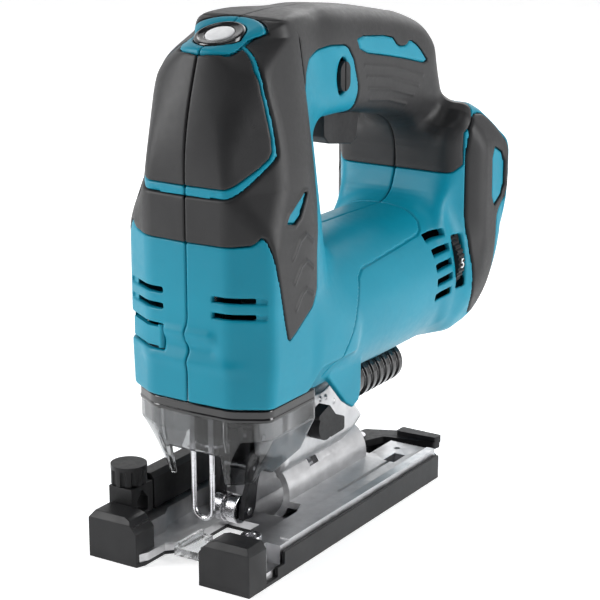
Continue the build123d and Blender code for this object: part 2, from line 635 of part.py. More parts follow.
def build_all():
    shell = body_shell()
    soft = soft_parts(shell)
    nodes = {
        "housing_left": housing(shell, soft, 1), "housing_right": housing(shell, soft, -1),
        "housing_screws": housing_screws(),
        "top_ring": top_ring(), "mode_button": mode_button(), "button_disc": button_disc(),
        "switch_board": switch_board(), "trigger": trigger(), "lock_button": lock_button(),
        "switch_body": switch_body(), "speed_dial": speed_dial(), "dial_spindle": dial_spindle(),
        "controller": controller(), "terminal_block": terminal_block(), "terminals": terminals(),
        "stator": stator(), "rotor": rotor(), "fan": fan(), "motor_bearings": motor_bearings(),
        "drive_gear": drive_gear(), "gear_pin": gear_pin(),
        "reciprocating_rod": reciprocating_rod(), "rod_bushes": rod_bushes(), "counterweight": counterweight(),
        "weight_guides": weight_guides(), "blade_clamp": blade_clamp(), "clamp_collar": clamp_collar(),
        "gear_housing": gear_housing(), "roller_fork": roller_fork(), "fork_pins": fork_pins(),
        "fork_pivot": fork_pivot(), "roller": roller(), "guard_wire": guard_wire(), "orbit_lever": orbit_lever(),
        "dust_cover": dust_cover(), "lamp_lens": lamp_lens(), "dust_port": dust_port(), "tool_opener": tool_opener(),
        "base_plate": base_plate(), "cover_plate": cover_plate(), "splinter_insert": splinter_insert(),
        "base_screw": base_screw(), "guide_holder": guide_holder(), "guide_knob": guide_knob(),
        "bevel_clamp": bevel_clamp(), "bevel_bolt": bevel_bolt(), "bevel_lever": bevel_lever(),
        "lever_pin": lever_pin(), "bearing_seat": bearing_seat(),
    }
    for name, part in soft.items():
        for side, sign in (("left", 1), ("right", -1)):
            nodes[f"{name}_{side}"] = solids_over(side_of(part, sign), 12.0)
    return nodes


os.makedirs("parts", exist_ok=True)
for name, shape in build_all().items():
    export_step(shape, f"parts/{name}.step")
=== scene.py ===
"""Looks of the cordless jigsaw: sculpted shells, bevelled metalwork and moulded finishes.

Lengths on the tool are millimetres in its own frame; the studio and the finished meshes are in
metres.  The shells are signed distance fields sampled on a grid and turned into meshes, so that
every seam, groove and rounded edge is real geometry.
"""
import bmesh
import bpy
import json
import math
import numpy as np
import openvdb as vdb
from mathutils import Matrix, Vector


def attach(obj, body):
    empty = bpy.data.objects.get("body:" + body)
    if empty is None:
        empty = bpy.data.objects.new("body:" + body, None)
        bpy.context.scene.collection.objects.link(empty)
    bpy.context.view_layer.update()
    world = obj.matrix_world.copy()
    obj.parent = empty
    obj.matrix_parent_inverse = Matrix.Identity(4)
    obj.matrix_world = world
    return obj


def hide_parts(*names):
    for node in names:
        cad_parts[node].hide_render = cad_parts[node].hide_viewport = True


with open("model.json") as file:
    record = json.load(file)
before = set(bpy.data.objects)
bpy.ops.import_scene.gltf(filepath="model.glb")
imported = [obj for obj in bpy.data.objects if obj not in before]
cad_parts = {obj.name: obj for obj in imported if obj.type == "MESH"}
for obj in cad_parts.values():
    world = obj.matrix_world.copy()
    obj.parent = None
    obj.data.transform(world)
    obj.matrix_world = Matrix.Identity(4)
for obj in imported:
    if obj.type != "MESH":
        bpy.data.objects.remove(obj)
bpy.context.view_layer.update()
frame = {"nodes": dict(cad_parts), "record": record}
MM = 0.001
RECORD = frame["record"]
BODY_OF = {node: body for body, nodes in RECORD["behaviour"]["bodies"].items() for node in nodes}
SLOT_OF = {part["node"]: part["material_slot"] for part in RECORD["subparts"]}
SHELL_STEP = 0.55
COVER_STEP = 0.36
CAMERA_AZIMUTH, CAMERA_ELEVATION, CAMERA_DISTANCE = 32.4, 16.17, 0.770
CAMERA_AIM = Vector((20.64, -12.90, 100.0)) * MM
LIGHT_AIM = Vector((0, 0.02, 0.11))


# ---- camera, light and floor ----------------------------------------------------------
def direction(azimuth, elevation):
    """Unit vector from the tool towards a viewer; azimuth 0 looks along +Y."""
    a, e = math.radians(azimuth), math.radians(elevation)
    return Vector((math.sin(a) * math.cos(e), -math.cos(a) * math.cos(e), math.sin(e)))


def aimed(obj, place, aim):
    """Sets an object down at a place, turned towards the aim."""
    obj.location = place
    obj.rotation_euler = (aim - place).to_track_quat("-Z", "Y").to_euler()
    bpy.context.scene.collection.objects.link(obj)
    return obj


def make_camera():
    """A long lens, in front of the tool and to its left."""
    lens = bpy.data.cameras.new("camera")
    lens.lens, lens.sensor_width = 116.3, 36.0
    lens.clip_start, lens.clip_end = 0.01, 20.0
    place = CAMERA_AIM + direction(CAMERA_AZIMUTH, CAMERA_ELEVATION) * CAMERA_DISTANCE
    bpy.context.scene.camera = aimed(bpy.data.objects.new("camera", lens), place, CAMERA_AIM)


def soft_box(name, azimuth, elevation, distance, size, power):
    """A rectangular lamp, turned towards the middle of the tool."""
    light = bpy.data.lights.new(name, "AREA")
    light.shape, light.size, light.size_y = "RECTANGLE", size[0], size[1]
    light.energy = power
    place = LIGHT_AIM + direction(azimuth, elevation) * distance
    aimed(bpy.data.objects.new(name, light), place, LIGHT_AIM)


def make_studio():
    """Four soft lamps, a dim sky and a floor of white paper that glows a little."""
    scene = bpy.context.scene
    scene.view_settings.view_transform = "Standard"
    world = bpy.data.worlds.new("studio")
    scene.world = world
    world.use_nodes = True
    sky = world.node_tree.nodes["Background"]
    sky.inputs["Color"].default_value = (0.93, 0.95, 1.0, 1)
    sky.inputs["Strength"].default_value = 0.07
    soft_box("key", -50, 24, 1.1, (0.45, 0.9), 11.0)
    soft_box("side", 108, 16, 1.0, (0.4, 0.9), 9.0)
    soft_box("top", 20, 82, 1.1, (0.6, 0.6), 1.6)
    soft_box("back", 190, 30, 1.2, (0.8, 0.6), 3.0)
    floor = mesh_object("studio_floor", *floor_sheet())
    paper = plain("floor_paper", (0.9, 0.9, 0.9), 0.85)
    shader = paper.node_tree.nodes["Principled BSDF"]
    shader.inputs["Emission Color"].default_value = (1, 1, 1, 1)
    shader.inputs["Emission Strength"].default_value = 0.56
    floor.data.materials.append(paper)


def floor_sheet():
    """A large pale sheet, square to the camera, that curves up behind the tool."""
    near, bend, radius, top, half_width = -7.0, 1.6, 0.8, 3.0, 9
    rows = [(near, 0.0), (bend, 0.0)]
    for k in range(1, 9):
        a = math.pi / 16 * k
        rows.append((bend + radius * math.sin(a), radius - radius * math.cos(a)))
    rows.append((bend + radius, top))
    turn = Matrix.Rotation(math.radians(CAMERA_AZIMUTH), 3, "Z")
    points = [turn @ Vector((x, y, z)) for y, z in rows for x in (-half_width, half_width)]
    faces = [(2 * k, 2 * k + 1, 2 * k + 3, 2 * k + 2) for k in range(len(rows) - 1)]
    return [tuple(p) for p in points], faces


# ---- mesh helpers -----------------------------------------------------------------------
def mesh_object(name, points, faces, smooth=False):
    """A new mesh object in the scene."""
    mesh = bpy.data.meshes.new(name)
    mesh.from_pydata(points, [], faces)
    mesh.polygons.foreach_set("use_smooth", [smooth] * len(mesh.polygons))
    mesh.update()
    obj = bpy.data.objects.new(name, mesh)
    bpy.context.scene.collection.objects.link(obj)
    return obj


def settle(obj, material, body, nodes=()):
    """Gives a piece its material, its body and the CAD nodes that it stands for."""
    obj.data.materials.clear()
    obj.data.materials.append(material)
    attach(obj, body)
    if nodes:
        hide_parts(*nodes)
    return obj


def bevelled(node, width, material):
    """A copy of a CAD node with real rounded edges, which stands for the node."""
    weld, flat, edge = 0.002 * MM, math.radians(0.6), math.radians(32)
    shape = bmesh.new()
    shape.from_mesh(frame["nodes"][node].data)
    bmesh.ops.remove_doubles(shape, verts=shape.verts, dist=weld)
    bmesh.ops.dissolve_degenerate(shape, edges=shape.edges, dist=weld)
    bmesh.ops.dissolve_limit(shape, angle_limit=flat, verts=shape.verts, edges=shape.edges)
    bmesh.ops.recalc_face_normals(shape, faces=shape.faces)
    mesh = bpy.data.meshes.new(node + "_finished")
    shape.to_mesh(mesh)
    shape.free()
    obj = bpy.data.objects.new(node + "_finished", mesh)
    bpy.context.scene.collection.objects.link(obj)
    bevel = obj.modifiers.new("edge", "BEVEL")
    bevel.width, bevel.segments = width * MM, 3
    bevel.limit_method, bevel.angle_limit = "ANGLE", edge
    bevel.miter_outer = "MITER_ARC"
    mesh.polygons.foreach_set("use_smooth", [True] * len(mesh.polygons))
    smooth_by_angle(obj, 40)
    apply_modifiers(obj)
    return settle(obj, material, BODY_OF[node], [node])


def smooth_by_angle(obj, degrees):
    """Marks the edges sharper than the angle, so that flats stay flat beside smooth rounds."""
    obj.data.set_sharp_from_angle(angle=math.radians(degrees))


def apply_modifiers(obj):
    """Turns the modified shape into the object's own mesh."""
    graph = bpy.context.evaluated_depsgraph_get()
    done = bpy.data.meshes.new_from_object(obj.evaluated_get(graph))
    obj.modifiers.clear()
    obj.data = done


# ---- signed distance fields -----------------------------------------------------------------
class Grid:
    """A block of sample points; x, y and z broadcast against each other."""

    def __init__(self, low, high, step):
        self.low, self.step = np.array(low, float), step
        counts = [int(math.ceil((h - l) / step)) + 1 for l, h in zip(low, high)]
        axes = [(l + step * np.arange(n)).astype(np.float32) for l, n in zip(low, counts)]
        self.x = axes[0][:, None, None]
        self.y = axes[1][None, :, None]
        self.z = axes[2][None, None, :]


def smooth_min(a, b, k):
    """The smaller of two fields, blended where they are less than k apart."""
    h = np.maximum(k - np.abs(a - b), 0) / k
    return np.minimum(a, b) - h * h * (k / 4)


def smooth_max(a, b, k):
    return -smooth_min(-a, -b, k)


def step_up(v, low, high):
    """0 below low, 1 above high, smooth between."""
    t = np.clip((v - low) / (high - low), 0, 1)
    return t * t * (3 - 2 * t)


def rounded(points, rounds=2):
    """Cuts the corners of a closed outline again and again, so that it turns into a smooth curve."""
    for _ in range(rounds):
        cut = []
        for (ax, ay), (bx, by) in zip(points, points[1:] + points[:1]):
            cut += [(0.8 * ax + 0.2 * bx, 0.8 * ay + 0.2 * by), (0.2 * ax + 0.8 * bx, 0.2 * ay + 0.8 * by)]
        points = cut
    return points


def mirrored_outline(points):
    """The outline on one side of x = 0, closed by its mirror image."""
    return points + [(-x, y) for x, y in reversed(points)]


def polygon(u, v, points):
    """Exact signed distance to a closed outline, negative inside."""
    best, inside = None, None
    for (ax, ay), (bx, by) in zip(points, points[1:] + points[:1]):
        ex, ey = bx - ax, by - ay
        wx, wy = u - ax, v - ay
        t = np.clip((wx * ex + wy * ey) / (ex * ex + ey * ey), 0, 1)
        away = (wx - ex * t) ** 2 + (wy - ey * t) ** 2
        crosses = ((ay <= v) != (by <= v)) & (((ex * wy - ey * wx) > 0) == (ey > 0))
        best = away if best is None else np.minimum(best, away)
        inside = crosses if inside is None else inside ^ crosses
    return np.where(inside, -1, 1).astype(np.float32) * np.sqrt(best).astype(np.float32)


def line(u, v, points):
    """Distance to an open chain of straight runs."""
    best = None
    for (ax, ay), (bx, by) in zip(points, points[1:]):
        ex, ey = bx - ax, by - ay
        t = np.clip(((u - ax) * ex + (v - ay) * ey) / (ex * ex + ey * ey), 0, 1)
        away = (u - ax - ex * t) ** 2 + (v - ay - ey * t) ** 2
        best = away if best is None else np.minimum(best, away)
    return np.sqrt(best).astype(np.float32)


def box_field(g, x0, x1, y0, y1, z0, z1, r=0.0):
    """A box with edges rounded to r."""
    dx = np.abs(g.x - (x0 + x1) / 2) - (x1 - x0) / 2
    dy = np.abs(g.y - (y0 + y1) / 2) - (y1 - y0) / 2
    dz = np.abs(g.z - (z0 + z1) / 2) - (z1 - z0) / 2
    if r:
        return smooth_max(smooth_max(dx, dy, 2 * r), dz, 2 * r)
    return np.maximum(np.maximum(dx, dy), dz)


def sample(field, at):
    """The field between its samples, at index positions."""
    base = np.clip(np.floor(at).astype(int), 0, np.array(field.shape) - 2)
    f = (at - base).astype(np.float32)
    total = np.zeros(len(at), np.float32)
    for dx in (0, 1):
        for dy in (0, 1):
            for dz in (0, 1):
                share = (f[:, 0] if dx else 1 - f[:, 0]) * (f[:, 1] if dy else 1 - f[:, 1])
                share = share * (f[:, 2] if dz else 1 - f[:, 2])
                total += share * field[base[:, 0] + dx, base[:, 1] + dy, base[:, 2] + dz]
    return total


def sculpted(name, g, field, flip=False, adaptivity=0.0):
    """Turns a field into a smooth mesh object; flip mirrors it to the other side of the tool."""
    band = 4.0
    field = np.ascontiguousarray(np.broadcast_to(field, (g.x.size, g.y.size, g.z.size)), np.float32)
    volume = vdb.FloatGrid(band)
    volume.copyFromArray(np.clip(field / g.step, -band, band).astype(np.float32))
    points, tris, quads = volume.convertToPolygons(0.0, adaptivity)
    points = np.array(points, np.float64)
    slopes = np.zeros_like(points)
    for axis in range(3):
        shift = np.zeros(3)
        shift[axis] = 0.6
        slopes[:, axis] = sample(field, points + shift) - sample(field, points - shift)
    slopes /= np.maximum(np.linalg.norm(slopes, axis=1, keepdims=True), 1e-9)
    points = (g.low + points * g.step) * MM
    faces = [tuple(map(int, f[::-1])) for f in quads] + [tuple(map(int, f[::-1])) for f in tris]
    if flip:
        points[:, 0] *= -1
        slopes[:, 0] *= -1
        faces = [f[::-1] for f in faces]
    obj = mesh_object(name, points.tolist(), faces, smooth=True)
    mesh = obj.data
    facing = np.zeros(len(mesh.polygons) * 3)
    mesh.polygons.foreach_get("normal", facing)
    first = np.array([p[0] for p in faces])
    if (facing.reshape(-1, 3) * slopes[first]).sum() < 0:
        mesh.flip_normals()
    mesh.normals_split_custom_set_from_vertices(slopes.tolist())
    return obj


# ---- materials ----------------------------------------------------------------------------
def plain(name, color, rough):
    """A material of one colour and one roughness."""
    material = bpy.data.materials.new(name)
    material.use_nodes = True
    shader = material.node_tree.nodes["Principled BSDF"]
    shader.inputs["Base Color"].default_value = (*color, 1)
    shader.inputs["Roughness"].default_value = rough
    return material


class Finish:
    """Builds one procedural material from layers of noise in object space."""

    def __init__(self, name, metallic=0.0, coat=0.0, ior=1.5, shine=0.5):
        self.material = bpy.data.materials.new(name)
        self.material.use_nodes = True
        self.tree = self.material.node_tree
        self.shader = self.tree.nodes["Principled BSDF"]
        self.shader.inputs["Metallic"].default_value = metallic
        self.shader.inputs["Coat Weight"].default_value = coat
        self.shader.inputs["IOR"].default_value = ior
        self.shader.inputs["Specular IOR Level"].default_value = shine
        self.place = self.tree.nodes.new("ShaderNodeTexCoord").outputs["Object"]
        self.normal = None

    def link(self, a, b):
        self.tree.links.new(a, b)

    def noise(self, size, detail, stretch=None):
        """Noise with features about size millimetres across, repeated stretch times as often per axis."""
        node = self.tree.nodes.new("ShaderNodeTexNoise")
        node.inputs["Scale"].default_value = 1.0 / (size * MM)
        node.inputs["Detail"].default_value = detail
        if stretch:
            mapping = self.tree.nodes.new("ShaderNodeMapping")
            mapping.inputs["Scale"].default_value = stretch
            self.link(self.place, mapping.inputs["Vector"])
            self.link(mapping.outputs["Vector"], node.inputs["Vector"])
        else:
            self.link(self.place, node.inputs["Vector"])
        return node.outputs["Fac"]

    def spread(self, value, low, high):
        """Turns the middle part of a noise into a value between low and high."""
        node = self.tree.nodes.new("ShaderNodeMapRange")
        node.inputs["From Min"].default_value = 0.3
        node.inputs["From Max"].default_value = 0.7
        node.inputs["To Min"].default_value = low
        node.inputs["To Max"].default_value = high
        self.link(value, node.inputs["Value"])
        return node.outputs["Result"]

    def color(self, dark, light, size, stretch=None):
        """Lets the base colour drift between two shades."""
        mix = self.tree.nodes.new("ShaderNodeMix")
        mix.data_type = "RGBA"
        mix.inputs["A"].default_value = (*dark, 1)
        mix.inputs["B"].default_value = (*light, 1)
        self.link(self.spread(self.noise(size, 4.0, stretch), 0, 1), mix.inputs["Factor"])
        self.link(mix.outputs["Result"], self.shader.inputs["Base Color"])
        return self

    def rough(self, low, high, size, stretch=None):
        """Lets the roughness drift between two values."""
        self.link(self.spread(self.noise(size, 3.0, stretch), low, high), self.shader.inputs["Roughness"])
        return self

    def bump(self, size, height, strength, stretch=None):
        """Adds a layer of unevenness, height millimetres deep, over the layers so far."""
        node = self.tree.nodes.new("ShaderNodeBump")
        node.inputs["Distance"].default_value = height * MM
        node.inputs["Strength"].default_value = strength
        self.link(self.noise(size, 2.0, stretch), node.inputs["Height"])
        if self.normal:
            self.link(self.normal, node.inputs["Normal"])
        self.normal = node.outputs["Normal"]
        self.link(self.normal, self.shader.inputs["Normal"])
        return self


def make_plastics():
    """Hard and soft plastics, clear ones, and the circuit board."""
    teal = Finish("teal_nylon", shine=0.26)
    teal.color((0.001, 0.205, 0.300), (0.002, 0.228, 0.330), 25).rough(0.36, 0.44, 3).bump(0.35, 0.02, 0.5)
    soft = Finish("overmould_rubber", shine=0.31)
    soft.color((0.016, 0.016, 0.017), (0.022, 0.022, 0.023), 14).rough(0.40, 0.48, 2)
    soft.bump(0.4, 0.05, 0.6).bump(3.0, 0.06, 0.4)
    black = Finish("black_nylon", shine=0.2)
    black.color((0.012, 0.012, 0.013), (0.020, 0.020, 0.021), 9).rough(0.36, 0.5, 2).bump(0.3, 0.025, 0.6)
    cover = Finish("cover_nylon", shine=0.2)
    cover.color((0.016, 0.016, 0.017), (0.024, 0.024, 0.025), 12).rough(0.32, 0.42, 3).bump(0.35, 0.02, 0.6)
    gloss = Finish("polished_black", coat=0.3)
    gloss.color((0.008, 0.008, 0.009), (0.013, 0.013, 0.014), 12).rough(0.12, 0.2, 5).bump(4.0, 0.03, 0.3)
    white = Finish("white_print")
    white.color((0.74, 0.75, 0.76), (0.84, 0.85, 0.86), 3).rough(0.3, 0.36, 2).bump(0.5, 0.01, 0.4)
    board = Finish("circuit_board")
    board.color((0.008, 0.07, 0.035), (0.018, 0.12, 0.06), 1.5).rough(0.3, 0.45, 1).bump(1.0, 0.06, 0.5)
    smoked = clear_plastic("smoked_polycarbonate", (0.25, 0.255, 0.26), (0.33, 0.335, 0.34), 0.05)
    clear = clear_plastic("clear_polycarbonate", (0.86, 0.88, 0.89), (0.93, 0.94, 0.95), 0.09)
    return {
        "teal_shell": teal.material, "soft_grip": soft.material, "black_plastic": black.material,
        "cover": cover.material, "gloss_black": gloss.material, "white_plastic": white.material,
        "board": board.material, "smoked_clear": smoked.material, "clear_plastic": clear.material,
    }


def clear_plastic(name, dark, light, rough):
    """A see-through finish, a little uneven."""
    finish = Finish(name, ior=1.45).color(dark, light, 12).bump(6.0, 0.05, 0.3)
    finish.shader.inputs["Transmission Weight"].default_value = 1.0
    return finish.rough(rough, rough * 1.8, 8)


def make_metals():
    """Cast, ground, oxidised and sintered metals; the ground steel is streaked across z."""
    cast = Finish("die_cast_aluminium", metallic=1.0).color((0.50, 0.50, 0.51), (0.62, 0.62, 0.63), 7)
    cast.rough(0.30, 0.44, 2.5).bump(0.5, 0.05, 0.5).bump(5.0, 0.06, 0.3)
    steel = Finish("ground_steel", metallic=1.0)
    steel.color((0.52, 0.52, 0.54), (0.68, 0.68, 0.70), 4, (1, 1, 6))
    steel.rough(0.16, 0.28, 1.5, (1, 1, 8)).bump(0.3, 0.008, 0.5, (1, 1, 10))
    oxide = Finish("black_oxide_steel", metallic=0.6)
    oxide.color((0.018, 0.018, 0.020), (0.035, 0.035, 0.038), 3).rough(0.26, 0.38, 1.5).bump(0.4, 0.02, 0.5)
    iron = Finish("sintered_iron", metallic=1.0)
    iron.color((0.16, 0.16, 0.17), (0.26, 0.26, 0.27), 2).rough(0.4, 0.6, 1).bump(0.4, 0.03, 0.8)
    bronze = Finish("bearing_bronze", metallic=1.0)
    bronze.color((0.42, 0.27, 0.12), (0.56, 0.38, 0.19), 3).rough(0.28, 0.4, 1).bump(0.3, 0.02, 0.6)
    copper = Finish("contact_copper", metallic=1.0)
    copper.color((0.66, 0.36, 0.2), (0.76, 0.46, 0.29), 4).rough(0.2, 0.3, 1).bump(0.3, 0.01, 0.6)
    return {
        "cast_aluminium": cast.material, "steel": steel.material, "black_steel": oxide.material,
        "sintered_iron": iron.material, "bronze": bronze.material, "copper": copper.material,
    }


make_camera()
make_studio()
LOOK = {**make_plastics(), **make_metals()}


# ---- the shell of the tool ------------------------------------------------------------------
# Outlines are side views, as (y, z) points.
HANDLE = [(-25, 210.0), (-22, 211.5), (-8, 212.8), (20, 213), (50, 209.3), (83, 203), (101, 197),
          (111, 188.5), (114, 176), (119, 162), (119, 126), (99, 124), (99, 140), (92, 152), (79, 158),
          (37, 165), (10, 167), (-25, 167)]
BRACKET = [(98, 149), (110, 160), (119, 160), (131, 147), (136, 141), (136, 122), (129.5, 90), (127, 73),
           (119, 61), (104, 57), (92, 70), (92, 120)]
OPENING = [(10.5, 163), (13.5, 131), (20, 124.5), (45, 121.5), (84, 119.2), (94, 122), (98.5, 131),
           (97.5, 143), (90, 153.5), (79, 158), (37, 165)]
TONGUE = [(-6, 70), (17, 46), (25, 49.5), (25, 70)]
NOSE_CAP = [(-80, 153.3), (-60.6, 153.3), (-57.0, 155.4), (-49.8, 160.2), (-45.6, 163.8), (-44.4, 166.2),
            (-44.0, 171), (-44.5, 180), (-45.0, 188), (-44.4, 196), (-41.2, 202.1), (-40, 208), (-80, 208)]
GRIP = [(-13.6, 212), (-37.4, 212), (-39.0, 202.4), (-42.8, 195), (-43.4, 188), (-42.6, 180), (-42.0, 171),
        (-42.3, 164.6), (-43.6, 162.8), (-48.8, 158.0), (-54.8, 153.0), (-60.0, 149.6), (-62, 148.9),
        (-80, 148.9), (-80, 131), (-56.5, 131.4), (-53.2, 136.4), (-51.0, 128), (-43, 94), (-41, 92.5),
        (-21.5, 105), (-20.2, 123), (-17.2, 134), (-15.0, 143), (-15.2, 158), (-14.6, 169), (-13.6, 181)]
HANDLE_SKIN = [(-60, 240), (-40, 212), (-22, 211), (-13.0, 204), (-13.0, 184), (-10.4, 189.7), (-4.6, 194.8),
               (5, 197.2), (14, 197.7), (25, 196.6), (28.6, 195.0), (33, 190), (37.5, 178), (37.8, 168),
               (35, 160), (35, 145), (70, 127.5), (100, 131.5), (104, 135), (104, 149), (118, 163),
               (150, 175), (150, 240)]
STRAP = [(105, 149), (112, 156), (121, 155), (131.5, 143), (133, 138), (133, 117), (125.5, 110), (124.8, 104),
         (122, 76), (116.5, 61.5), (109, 74), (105, 100)]
STRAP_INLAY = [(119.5, 141.5), (130.8, 136), (130.8, 118.5), (120.4, 112.5)]
HANDLE_INLAY = [(35, 198.6), (65, 195.2), (70.5, 190.0), (77, 189.2), (80.5, 191.6), (88, 188), (98, 178.9),
                (70, 185.6), (39, 191.8)]
WINDOW = [(-44.0, 139.5), (-35.5, 137.4), (-24.5, 150.5)]
PANEL_SEAM = [(84, 122), (85.2, 116), (83.6, 112), (80, 109.4), (76, 108.2), (50, 106.6), (25, 105.2),
              (19.8, 102.8), (12.6, 92.6), (2.7, 81.7), (-7, 68)]
CHEVRONS = [[(-39.6, 124.6), (-34.6, 130.9), (-30.4, 132.6), (-24.6, 128.2)],
            [(-38.4, 114.9), (-34.0, 120.6), (-30.4, 122.2), (-24.6, 118.0)],
            [(-37.4, 104.3), (-33.4, 109.6), (-30.2, 111.0), (-25.2, 107.6)]]
# Where the seam between the halves lies, as (z, x) points.
SEAM_WAVE = [(60, -0.4), (84, -0.4), (88, 0.4), (92, -1.3), (97, -0.7), (101, 0.0), (240, 0.0)]
CASE_SCREWS = [(-52.5, 147.5), (1, 152), (72, 197.5), (105.5, 172), (108, 128), (118, 74)]
WALL, SKIRT_WALL, SKIN = 2.6, 1.35, 1.4
MOTOR_Z, ROD_Y = 86, -43
LOCK_Y, LOCK_Z = 24.0, 184.0
TOP_TILT = math.radians(18.5)
RING_Y, RING_Z = -37, 207.5
RING_A, RING_B = 19.0, 15.2


def top_frame(g, drop=0.0):
    """Distance along the sloping top from the ring's middle, and height over it if lowered by drop."""
    y, z = g.y - RING_Y, g.z - (RING_Z - drop)
    along = math.cos(TOP_TILT) * y + math.sin(TOP_TILT) * z
    return along, -math.sin(TOP_TILT) * y + math.cos(TOP_TILT) * z


def ring_well(g, grow):
    """The oval seat of the top ring, square to the sloping top, and the height over that top."""
    along, height = top_frame(g)
    oval = (np.sqrt((g.x / (RING_A + grow)) ** 2 + (along / (RING_B + grow)) ** 2) - 1) * RING_B
    return oval, height


def nose_column(g, ax):
    """The upright body: flat front, slanting corner facets and sides, drawn in towards the top."""
    front = 61.4 - 1.9 * np.clip((g.z - 150) / 38, 0, 2) ** 1.8 - 4.6 * np.clip((g.z - 188) / 15, 0, 2) ** 2
    corner = 50.6 + 0.36 * np.maximum(151 - g.z, 0) - 0.13 * np.maximum(g.z - 151, 0)
    corner = corner - 8.0 * np.clip((g.z - 190) / 12, 0, 1.3) ** 2
    half = 34.3 - 1.2 * np.clip((84 - g.z) / 17, 0, 1) - 1.8 * np.clip((g.z - 131) / 19, 0, 1)
    half = half - 8.9 * np.clip((g.z - 150) / 47, 0, 1.4) ** 1.5
    d = smooth_max(-g.y + 0.03 * ax - front, 0.51 * ax - 0.86 * g.y - 61.9, 1.6)
    d = smooth_max(d, 0.82 * ax - 0.57 * g.y - corner, 2.4)
    d = smooth_max(d, ax - half, 3.0)
    back = 14.7 + 0.104 * (165 - g.z) + 14 * step_up(108 - g.z, 0, 30)
    d = smooth_max(d, 0.82 * ax + 0.57 * g.y - back, 9.0)
    d = smooth_max(d, g.y - 11.0, 4.0)
    top = top_frame(g, 0.1)[1]
    oval, height = ring_well(g, 0.0)
    shoulder = 0.80 * oval + 0.60 * height + 0.2 - 12 * step_up(g.y, -35, -8)
    return smooth_max(smooth_max(d, shoulder, 4.0), top, 2.5)


def top_line(y):
    """Height of the top of the tool along its middle; the rear of the handle is left alone."""
    heights = (199.6, 203.0, 212.3, 212.9, 213.1, 209.7, 203.5, 216.0, 260.0)
    return np.interp(y, (-60, -51, -22, -8, 20, 50, 83, 95, 160), heights).astype(np.float32)


def front_relief(g, ax):
    """How far two soft ridges across the front stand out, and the hollow between them lies in."""
    crest = 1.1 * np.exp(-((g.z - 95.2) / 2.4) ** 2) * (1 - step_up(ax, 9.5, 14.5))
    hollow = -0.9 * np.exp(-((g.z - 90.0) / 2.6) ** 2) * (1 - step_up(ax, 10, 16))
    sill = 0.8 * np.exp(-((g.z - 83.6) / 2.6) ** 2) * (1 - step_up(ax, 17, 29))
    return (crest + hollow + sill) * step_up(-g.y, 40, 50)


def body_field(g):
    """The whole outside: column, handle, motor barrel, rear bracket and the tongues beside the foot."""
    ax = np.abs(g.x)
    column = nose_column(g, ax) - front_relief(g, ax)
    sill = 67.2 + 8.5 * step_up(g.y, -27, -15)
    column = smooth_max(column, sill - g.z, 1.6)
    side = polygon(g.y, g.z, rounded(HANDLE))
    half = 16.6 + 0.30 * np.maximum(150 - g.z, 0) + 1.4 * np.exp(-((g.y - 20) / 18) ** 2)
    handle = smooth_max(side, ax - half, 15.0)
    reach = np.sqrt(ax ** 2 + (g.z - MOTOR_Z) ** 2)
    barrel = smooth_max(reach - 33.0, np.abs(g.y - 50) - 70.0, 6.0)
    wide = 27.0 + 10.6 * step_up(g.y, 95, 115) + 1.4 * step_up(g.y, 130, 133)
    bracket = smooth_max(polygon(g.y, g.z, rounded(BRACKET, 1)), ax - wide, 5.0)
    bracket = smooth_max(bracket, 0.845 * ax + 0.534 * g.z - 109.6, 4.0)
    bracket = smooth_max(bracket, 0.914 * ax - 0.406 * g.z + 1.0, 6.0)
    d = smooth_min(column, handle, 9.0)
    d = smooth_max(d, g.z - top_line(g.y), 2.5)
    d = smooth_min(d, smooth_min(barrel, bracket, 10.0), 6.0)
    d = smooth_max(d, -polygon(g.y, g.z, rounded(OPENING)), 5.0)
    tongue = smooth_max(polygon(g.y, g.z, rounded(TONGUE, 1)), np.abs(ax - 25.5) - 1.5, 1.0)
    tongue = np.maximum(tongue, 31.0 - reach)
    d = smooth_min(d, tongue, 1.5)
    under_nose = box_field(g, -20.5, 20.5, -70, 50, 40, 66.9)
    over_foot = box_field(g, -17, 17, -8, 30, 60, 71)
    return np.maximum(np.maximum(d, -under_nose), -over_foot)


def under_skin(body, zone):
    """The space that a skin takes out of the hard wall inside a zone, with a little room round it."""
    return np.maximum(zone - 0.3, -(body + SKIN + 0.1))


def skin_field(body, zone, lift=0.35, gap=0.05):
    """A skin on the body inside a zone, with a rounded edge and standing a little proud."""
    return np.maximum(smooth_max(body - lift, zone + gap, 0.9), -(body + SKIN))


def seam_offset(z):
    """How far the seam between the halves strays from the middle at a height."""
    heights, shifts = zip(*SEAM_WAVE)
    return np.interp(z, heights, shifts).astype(np.float32)


def slot_field(g, y0, y1, z0, z1, lean):
    """A through slot in the side wall, its height shifting with y by lean."""
    z = g.z - lean * (g.y - (y0 + y1) / 2)
    return np.maximum(np.abs(g.y - (y0 + y1) / 2) - (y1 - y0) / 2, np.abs(z - (z0 + z1) / 2) - (z1 - z0) / 2)


def shell_zones(g):
    """The areas of the rubber skins and the hard inlays, seen from the side."""
    cap = polygon(g.y, g.z, NOSE_CAP)
    grip = polygon(g.y, g.z, rounded(GRIP, 1))
    handle = polygon(g.y, g.z, HANDLE_SKIN)
    inlay = np.maximum(polygon(g.y, g.z, rounded(HANDLE_INLAY, 1)), 5 - np.abs(g.x))
    strap = np.maximum(polygon(g.y, g.z, rounded(STRAP, 1)), 24 - np.abs(g.x))
    window = polygon(g.y, g.z, rounded(WINDOW, 1))
    badge = polygon(g.y, g.z, rounded(STRAP_INLAY, 1))
    return cap, grip, handle, inlay, strap, window, badge


